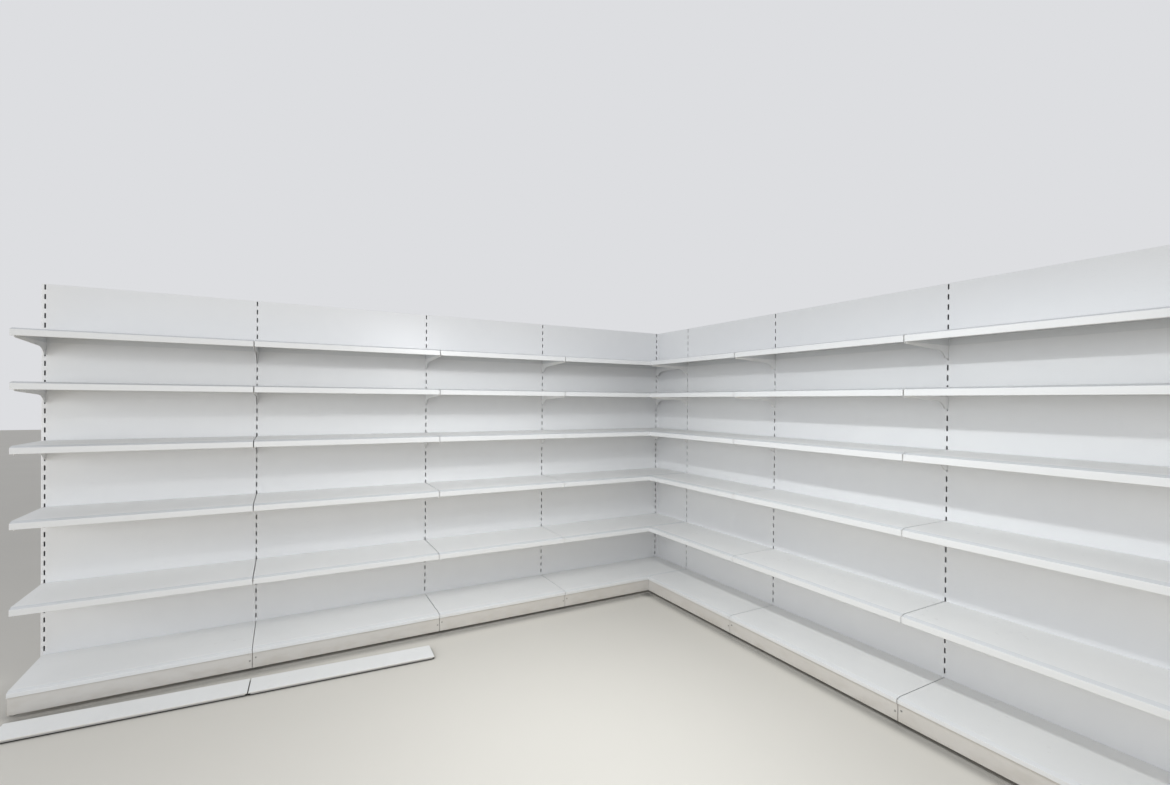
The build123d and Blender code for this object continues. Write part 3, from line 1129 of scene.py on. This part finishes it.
@dataclass
class BaseUnit:
    """The low base: legs, levelling feet, base shelves and plinth.

    foot_rim holds steps in from the foot's radius, each with a height. screw_wall and
    screw_steps are shares of the screw's radius and rise.
    """
    reach: float = 400.0
    deck: float = 132.0
    lip: float = 26.0
    nose_drop: float = 6.0
    leg_bottom: float = 18.0
    leg_height: float = 60.0
    leg_width: float = 30.0
    leg_wall: float = 2.0
    leg_corner: float = 3.0
    cap_play: float = 0.1
    cap_inset: float = 0.4
    plinth_setback: float = 8.0
    plinth_hem: float = 10.0
    plinth_bottom: float = 22.0
    sheet: float = 1.0
    fold: float = 1.5
    foot_radius: float = 18.0
    foot_height: float = 8.0
    foot_rim: tuple[Point, ...] = ((2.0, 0.0), (0.5, 0.7), (0.0, 2.0), (0.0, 3.4), (0.8, 4.6),
                                   (3.0, 5.4), (8.0, 6.6), (9.0, 8.0))
    stud: float = 5.0
    stud_sink: float = 1.0
    thread_pitch: float = 0.75
    thread_depth: float = 0.45
    thread_root: float = 0.35
    nut: float = 8.0
    nut_height: float = 4.5
    nut_gap: float = 0.2
    front_foot: float = 50.0
    screw_radius: float = 4.6
    screw_rise: float = 2.2
    screw_wall: float = 0.45
    screw_steps: tuple[Point, ...] = ((0.22, 0.35), (0.33, 0.20), (0.12, -0.65))
    screw_spots: tuple[Point, ...] = ((-11.5, 42.0), (16.0, 29.0))

    @property
    def plinth_front(self) -> float:
        """The Y of the plinth's face."""
        return -self.reach + self.plinth_setback

    @property
    def plinth_back(self) -> float:
        """The Y of the plinth's hems' inner ends."""
        return self.plinth_front + self.plinth_hem

    @property
    def plinth_top(self) -> float:
        """The height of the plinth's top."""
        return self.deck - self.lip

    def shelf(self) -> Shelf:
        """Return the base shelf's folding sizes."""
        return Shelf(reach=self.reach, front_height=self.lip, nose_drop=self.nose_drop,
                     flange=self.deck - self.leg_bottom - self.leg_height)

    def leg(self, centre: float) -> list[BMesh]:
        """Make one leg, forward from the upright.

        Args:
            centre: The X of its centre line.

        Returns:
            The tube and the plates that close its two ends.
        """
        half, low, high = self.leg_width / 2, self.leg_bottom, self.leg_bottom + self.leg_height
        corners = [(-half, low), (half, low), (half, high), (-half, high)]
        body = bmesh.new()
        face = body.faces.new([body.verts.new((centre + x, self.plinth_back, z))
                               for x, z in corners])
        bmesh.ops.bevel(body, geom=face.verts[:], offset=self.leg_corner, segments=4,
                        profile=0.5, affect="VERTICES", material=-1)
        body.faces.ensure_lookup_table()
        inner = body.faces[0]
        bmesh.ops.inset_region(body, faces=[inner], thickness=self.leg_wall, use_even_offset=True)
        bmesh.ops.delete(body, geom=[inner], context="FACES_ONLY")
        push(body, body.faces[:], (0, -self.plinth_back, 0))
        play = self.leg_wall + self.cap_play
        shapes = [soften(outward(body), 0.25, angle=70)]
        for start in (self.plinth_back + self.cap_inset, -self.leg_wall - self.cap_inset):
            shapes.append(bar((centre - half + play, centre + half - play),
                              (start, start + self.leg_wall), (low + play, high - play)))
        return shapes

    def foot(self, at: Point) -> BMesh:
        """Make one foot's moulded disc, with a shallow dome and a rounded rim.

        Args:
            at: Where it stands in (x, y).

        Returns:
            The disc.
        """
        rim = [(self.foot_radius - inward, z) for inward, z in self.foot_rim]
        return turned([(0.0, 0.0), *rim, (0.0, self.foot_height)], at)

    def stud_and_nut(self, at: Point) -> list[BMesh]:
        """Make one foot's threaded stud and its lock nut.

        Args:
            at: Where the foot stands in (x, y).

        Returns:
            The threaded stud and the nut.
        """
        z = self.foot_height
        profile = [(0.0, z - self.stud_sink), (self.stud, z - self.stud_sink)]
        while z < self.leg_bottom - self.thread_pitch:
            profile += [(self.stud - self.thread_depth, z + self.thread_root),
                        (self.stud, z + self.thread_pitch)]
            z += self.thread_pitch
        profile += [(self.stud, self.leg_bottom), (0.0, self.leg_bottom)]
        middle = self.leg_bottom - self.nut_gap - self.nut_height / 2
        nut = bmesh.new()
        bmesh.ops.create_cone(nut, cap_ends=True, segments=6, radius1=self.nut, radius2=self.nut,
                              depth=self.nut_height, matrix=Matrix.Translation((*at, middle)))
        return [turned(profile, at, 18), soften(nut, 0.5, 2, 40)]

    def plinth(self, span: Span) -> list[BMesh]:
        """Make one bay's plinth plate.

        Args:
            span: The two ends of the plate.

        Returns:
            The folded plate and its two end returns.
        """
        front, back = self.plinth_front, self.plinth_back
        low, high = self.plinth_bottom, self.plinth_top
        profile = [(back, low), (front, low), (front, high), (back, high)]
        return [folded(profile, span, self.sheet, self.fold)] + [
            bar((end, end + self.sheet), (front + self.sheet, back),
                (low + self.sheet, high - self.sheet), 0.2)
            for end in (span[0], span[1] - self.sheet)]

    def screw(self, x: float, z: float) -> BMesh:
        """Make a pan-head screw, hollowed in its middle, on the plinth's face.

        Args:
            x: Where it sits along the run.
            z: The height of its centre.

        Returns:
            The head.
        """
        radius, rise = self.screw_radius, self.screw_rise
        shape = bmesh.new()
        bmesh.ops.create_circle(shape, cap_ends=True, radius=radius, segments=24)
        top = push(shape, shape.faces[:], (0, 0, rise * self.screw_wall))[0]
        for depth, lift in self.screw_steps:
            bmesh.ops.inset_region(shape, faces=[top], thickness=radius * depth)
            bmesh.ops.translate(shape, verts=top.verts[:], vec=(0, 0, rise * lift))
        bmesh.ops.recalc_face_normals(shape, faces=shape.faces)
        bmesh.ops.transform(shape, verts=shape.verts[:], matrix=Matrix.Translation(
            (x, self.plinth_front, z)) @ Matrix.Rotation(math.radians(90), 4, "X"))
        return shape


@dataclass
class LoosePlate:
    """A spare plinth plate lying face up on the floor, its span counted from a corner of it."""
    name: str
    span: Span
    corner: Point
    turn: float
    width: float = 150.0
    depth: float = 15.0
    sheet: float = 1.0
    fold: float = 1.6
    lip: float = 5.0
    setback: float = 9.0

    def build(self) -> BMesh:
        """Make the plate: a face, a lip round it, and walls that stand back under the lip.

        Returns:
            The folded sheet.
        """
        low, high = self.span
        middle = ((low + high) / 2, self.width / 2)
        corners = [(low, 0.0), (high, 0.0), (high, self.width), (low, self.width)]
        shape = bmesh.new()
        face = shape.faces.new([shape.verts.new((x, y, self.depth)) for x, y in corners])
        rim = line = face.edges[:]
        for inward, down in ((0.0, self.lip), (self.setback, 0.0), (0.0, self.depth - self.lip)):
            line = sweep(shape, line, (0, 0, -down))
            for vert in {vert for edge in line for vert in edge.verts}:
                vert.co.x -= math.copysign(inward, vert.co.x - middle[0])
                vert.co.y -= math.copysign(inward, vert.co.y - middle[1])
        bevel(shape, rim, self.fold)
        return as_sheet(shape, (0, 0, 0), self.sheet, angle=70)

    def place(self) -> Matrix:
        """Return where the plate lies, in the left run's frame."""
        return (Matrix.Translation((*self.corner, 0.0)) @
                Matrix.Rotation(math.radians(self.turn), 4, "Z"))


# Putting the runs together

@dataclass
class ShelvingRun:
    """One straight run: its uprights, panels, brackets, shelves and base."""
    run: Run
    layout: Layout
    end_overhang: float = 8.0
    corner_stop: float = 3.0
    front_gap: float = 1.2
    base_gap: float = 0.9
    leg_gap: float = 2.0
    plinth_gap: float = 3.0
    plinth_stop: float = 0.5
    shelf_joint: float = 2.6
    base_joint: float = 1.6

    @property
    def centres(self) -> list[float]:
        """The uprights' centre lines."""
        return self.layout.uprights[self.run]

    def ends(self, reach: float, gap: float) -> Span:
        """Return the ends of a row of trays of a given reach, with its gap at the corner."""
        if self.run is Run.LEFT:
            return self.centres[0] - self.end_overhang, -self.corner_stop
        return reach + gap, self.centres[-1] + self.end_overhang

    def plinth_ends(self, base: BaseUnit) -> Span:
        """Find the ends of the plinth.

        Args:
            base: The base unit.

        Returns:
            The plinth's first and last X.
        """
        low, high = self.ends(base.reach, self.base_gap)
        if self.run is Run.LEFT:
            return low + base.sheet, base.plinth_back - self.plinth_stop
        return -base.plinth_front + self.plinth_gap, high - base.sheet

    def legs(self, base: BaseUnit) -> list[float]:
        """Return the legs' centre lines."""
        if self.run is Run.LEFT:
            return self.centres
        return [base.reach + self.leg_gap, *self.centres[1:]]

    def feet(self, base: BaseUnit) -> list[Point]:
        """Return where the run's feet stand, in its own frame."""
        return ([(centre, UPRIGHT_DEPTH / 2) for centre in self.centres] +
                [(centre, base.plinth_back + base.front_foot) for centre in self.legs(base)])

    def spans(self, ends: Span, joint: float) -> list[Span]:
        """Share the run's length out over its bays.

        Args:
            ends: The first and last X.
            joint: Half of the gap at each inner upright.

        Returns:
            A span for each bay.
        """
        edges = [ends[0], *self.centres[1:-1], ends[1]]
        count = len(edges) - 2
        return [(low + joint * (n > 0), high - joint * (n < count))
                for n, (low, high) in enumerate(pairs(edges))]

    def finish(self, name: str, shapes: Iterable[BMesh], finish: Finish, node: str = "") -> None:
        """Finish a piece of this run.

        Args:
            name: The piece's name, after the run's.
            shapes: Its shapes.
            finish: Its finish.
            node: The name of the node that it stands for, after the run's.
        """
        nodes = [f"{self.run.title}_{node}"] if node else []
        Workpiece(f"{self.run.title}_{name}").add(shapes).finish(
            self.layout.place(self.run), finish, *nodes)

    def finish_row(self, kind: str, part: str, finish: Finish,
                   row: Iterable[Iterable[BMesh]]) -> None:
        """Finish a piece for each numbered node of a kind."""
        for number, shapes in enumerate(row, 1):
            self.finish(f"{kind}_{number}_{part}", shapes, finish, f"{kind}_{number}")

    def trays(self, shelf: Shelf, deck: float, spans: Iterable[Span],
              centres: Sequence[float]) -> list[BMesh]:
        """Return a level's trays, their side flanges standing in from the centre lines."""
        return [shape for span, bay in zip(spans, pairs(centres))
                for shape in shelf.build(deck, span, bay)]

    def build_uprights(self, uprights: Iterable[Upright]) -> None:
        """Stand each of the given uprights at its centre line."""
        self.finish_row("upright", "tube", UPRIGHT_COAT, (
            upright.build(centre, self.layout.top)
            for upright, centre in zip(uprights, self.centres)))

    def build_panels(self, panel: BackPanel) -> None:
        """Hang a panel in every bay."""
        self.finish_row("panel", "sheet", PANEL_COAT_PAINTED_LIGHT, (
            [panel.build(bay, self.layout.top)] for bay in pairs(self.centres)))

    def build_brackets(self, bracket: Bracket, slots: Sequence[float]) -> None:
        """Hook the brackets of every upright into its slots.

        Args:
            bracket: The bracket.
            slots: The slots' heights.
        """
        first, last = self.centres[0], self.centres[-1]
        self.finish_row("brackets", "plates", BRACKET_COAT_PAINTED_LIGHT, (
            [bracket.build(centre, side, deck, slots)
             for side in [-1] * (centre != first) + [1] * (centre != last)
             for deck in self.layout.decks] for centre in self.centres))

    def build_shelves(self, shelf: Shelf) -> None:
        """Lay the shelves of every level."""
        spans = self.spans(self.ends(shelf.reach, self.front_gap), self.shelf_joint)
        self.finish_row("shelves", "trays", SHELF_COAT_PAINTED_LIGHT_AND_SHADE, (
            self.trays(shelf, deck, spans, self.centres) for deck in self.layout.decks))

    def build_base(self, base: BaseUnit) -> None:
        """Build the run's base shelves, plinth, legs and screws.

        Args:
            base: The base unit.
        """
        legs = self.legs(base)
        spans = self.spans(self.ends(base.reach, self.base_gap), self.base_joint)
        self.finish("base_trays", self.trays(base.shelf(), base.deck, spans, legs), SHELF_COAT_PAINTED_LIGHT_AND_SHADE,
                    "base_shelves")
        spans = self.spans(self.plinth_ends(base), self.base_joint)
        self.finish("plinth_plates", [shape for span in spans for shape in base.plinth(span)],
                    PLINTH_COAT_PAINTED_SHADE, "plinths")
        self.finish("base_leg_tubes", [shape for centre in legs for shape in base.leg(centre)],
                    LEG_COAT, "base_legs")
        self.finish("plinth_screws", [base.screw(centre + aside, base.plinth_top - down)
                                      for centre in self.centres[1:-1]
                                      for aside, down in base.screw_spots], ZINC_PLATE)


# The studio

@dataclass
class Stage:
    """The plain floor and the pale surroundings."""
    floor_size: float = 60.0
    floor_tone: Colour = linear(222, 218, 210)
    floor_shade: float = 0.965
    bounce_tone: Colour = linear(226, 213, 190)
    gap_shade_tone: Colour = linear(26, 23, 20)
    gap_reach: float = 0.10
    gap_band: Point = (0.42, 0.97)
    cloud_scale: float = 1.3
    roughness: float = 0.62
    air_tone: Colour = linear(221, 222, 225)
    air_colour: Colour = (0.935, 0.96, 1.0)
    air_light: float = 0.51

    def build_floor(self) -> None:
        """Lay a plain pale floor with a slight cloud in its tone, with painted shade in narrow gaps
        under and beside the object.
        """
        shape = bmesh.new()
        bmesh.ops.create_grid(shape, x_segments=8, y_segments=8, size=self.floor_size / 2)
        data = bpy.data.meshes.new("studio_floor")
        shape.to_mesh(data)
        shape.free()
        sheet = MaterialSheet("floor_paint")
        cloud = sheet.noise(self.cloud_scale, 4.0)
        deeper = tuple(value * self.floor_shade for value in self.floor_tone)
        tone = sheet.blend(sheet.any_ray("Camera", "Glossy"), self.bounce_tone,
                           sheet.blend(cloud, self.floor_tone, deeper))
        # Painted shade: the floor darkens where the object closes it in, as under the plinth.
        gap = sheet.node("ShaderNodeAmbientOcclusion", {"Distance": self.gap_reach}, samples=8)
        painted_gap_shade = sheet.math("SUBTRACT", 1.0, sheet.band(gap.outputs["AO"], *self.gap_band))
        data.materials.append(sheet.coat(Base_Color=sheet.blend(painted_gap_shade, tone, self.gap_shade_tone),
                                         Roughness=sheet.plus(sheet.times(cloud, 0.1),
                                                              self.roughness)))
        link("studio_floor", data)

    def build_air(self) -> None:
        """Make the even surrounding light and the pale background that the camera sees."""
        world = bpy.context.scene.world = bpy.data.worlds.new("studio_air")
        world.use_nodes = True
        sheet = Sheet(world.node_tree)
        light = world.node_tree.nodes["Background"]
        sheet.feed(light.inputs[0], self.air_colour)
        sheet.feed(light.inputs[1], self.air_light)
        seen = sheet.node("ShaderNodeBackground", {0: self.air_tone, 1: 1.0})
        both = sheet.node("ShaderNodeMixShader", {
            0: sheet.any_ray("Camera", "Glossy", "Transmission"), 1: light.outputs[0],
            2: seen.outputs[0]})
        sheet.feed(world.node_tree.nodes["World Output"].inputs["Surface"], both.outputs[0])


@dataclass(frozen=True)
class Lamp:
    """A rectangular lamp, with its place and aim in metres from the run's corner.

    The first side of its size lies along the given direction, and its spread is in degrees.
    """
    name: str
    at: Place
    aim: Place
    size: Span
    power: float
    along: Place = (1.0, 0.0, 0.0)
    tint: Colour = (1.0, 1.0, 1.0)
    spread: float = 180.0

    def hang(self, corner: Vector) -> None:
        """Hang the lamp.

        Args:
            corner: The corner, in millimetres in the model.
        """
        lamp = bpy.data.lights.new(self.name, "AREA")
        lamp.shape = "RECTANGLE"
        lamp.size, lamp.size_y = self.size
        lamp.energy = self.power
        lamp.color = self.tint
        lamp.spread = math.radians(self.spread)
        away = (Vector(self.at) - Vector(self.aim)).normalized()
        along = Vector(self.along)
        first = (along - away * along.dot(away)).normalized()
        link(self.name, lamp).matrix_world = facing((first, away.cross(first), away),
                                                    Vector(self.at) + corner * MM)


LAMPS = (Lamp("long_lamp", (-1.7, -2.1, 2.1), (-1.7, -2.1, 0.0), (1.3, 0.1), 24.0,
              (0.0, 1.0, 0.0), (0.96, 0.99, 1.0)),
         Lamp("right_lamp", (-1.7, -2.1, 2.1), (0.0, -1.6, 1.3), (1.3, 0.1), 2.8,
              (0.0, 1.0, 0.0), (0.94, 0.97, 1.0)),
         Lamp("left_lamp", (-1.9, -1.9, 2.1), (-2.5, 0.0, 1.3), (0.7, 0.1), 7.0),
         Lamp("side_lamp", (-7.5, -2.9, 1.9), (-1.6, -1.2, 1.3), (4.0, 2.4), 40.0,
              tint=(0.94, 0.97, 1.0), spread=110.0),
         Lamp("front_lamp", (-4.3, -6.6, 1.9), (-3.6, 0.0, 1.1), (3.6, 2.2), 58.0,
              tint=(1.0, 0.995, 0.985)))


@dataclass
class PhotoCamera:
    """The camera at the viewpoint of the picture, placed in metres from the run's corner."""
    place: Place = (-2.91258, -3.64991, 1.48589)
    yaw: float = 27.1348
    pitch: float = -0.2490
    roll: float = 0.4197
    focal: float = 521.245
    centre: Point = (552.228, 403.41)
    picture: tuple[int, int] = (1170, 785)
    sensor: float = 36.0

    def build(self, corner: Vector) -> None:
        """Make the camera and set it as the scene's own.

        Args:
            corner: The corner, in millimetres in the model.
        """
        data = bpy.data.cameras.new("photo_camera")
        width, height = self.picture
        data.sensor_width = self.sensor
        data.sensor_fit = "HORIZONTAL"
        data.lens = self.focal / width * self.sensor
        data.shift_x = (width / 2 - self.centre[0]) / width
        data.shift_y = (self.centre[1] - height / 2) / width
        data.clip_start = 0.05
        yaw, pitch, roll = (math.radians(a) for a in (self.yaw, self.pitch, self.roll))
        ahead = Vector((math.sin(yaw) * math.cos(pitch), math.cos(yaw) * math.cos(pitch),
                        math.sin(pitch)))
        level = Vector((math.cos(yaw), -math.sin(yaw), 0.0))
        upright = level.cross(ahead)
        right = level * math.cos(roll) + upright * math.sin(roll)
        up = upright * math.cos(roll) - level * math.sin(roll)
        held = link("photo_camera", data)
        held.matrix_world = facing((right, up, -ahead), Vector(self.place) + corner * MM)
        bpy.context.scene.camera = held


def build_feet(base: BaseUnit, runs: Iterable[ShelvingRun], home: Matrix) -> None:
    """Stand every levelling foot, its stud and its nut under the runs.

    Args:
        base: The base unit.
        runs: The runs.
        home: From the left run's frame to the model's, in millimetres.
    """
    discs, studs = Workpiece("levelling_feet_discs"), Workpiece("levelling_feet_studs")
    for run in runs:
        for point in run.feet(base):
            discs.add([base.foot(point)], run.run.turn)
            studs.add(base.stud_and_nut(point), run.run.turn)
    discs.finish(home, FOOT_PLASTIC, "levelling_feet")
    studs.finish(home, ZINC_PLATE, slot=Slot.FOOT)


def main() -> None:
    """Build the two runs, the corner, the loose plates and the studio."""
    logging.basicConfig(level=logging.INFO, format="%(name)s %(message)s")
    bpy.context.scene.view_settings.view_transform = "Standard"
    layout = Layout.read()
    LOG.info("uprights %s decks %s", layout.uprights, layout.decks)
    shelf, base, upright, corner_upright = Shelf(), BaseUnit(), Upright(), Upright(slot_width=12.0)
    runs = [ShelvingRun(run, layout) for run in Run]
    for run in runs:
        last = corner_upright if run.run is Run.LEFT else upright
        run.build_uprights([upright] * (len(run.centres) - 1) + [last])
        run.build_panels(BackPanel())
        run.build_brackets(Bracket(shelf), upright.centres(layout.top))
        run.build_shelves(shelf)
        run.build_base(base)
    home = layout.place(Run.LEFT)
    build_feet(base, runs, home)
    corner = Workpiece("corner_panel_sheet").add(CornerPanel().build(layout))
    corner.finish(home, PANEL_COAT_PAINTED_LIGHT, "corner_panel")
    for loose in (LoosePlate("loose_plate_left", (-970.0, 0.0), (-3076.0, -642.0), -2.9),
                  LoosePlate("loose_plate_right", (0.0, 930.0), (-3071.0, -643.2), -2.7)):
        cover = Workpiece(f"{loose.name}_cover").add([loose.build()], loose.place())
        cover.finish(home, LOOSE_COAT, loose.name)
    stage = Stage()
    stage.build_floor()
    stage.build_air()
    for lamp in LAMPS:
        lamp.hang(layout.corner)
    PhotoCamera().build(layout.corner)


if __name__ == "__main__":
    main()
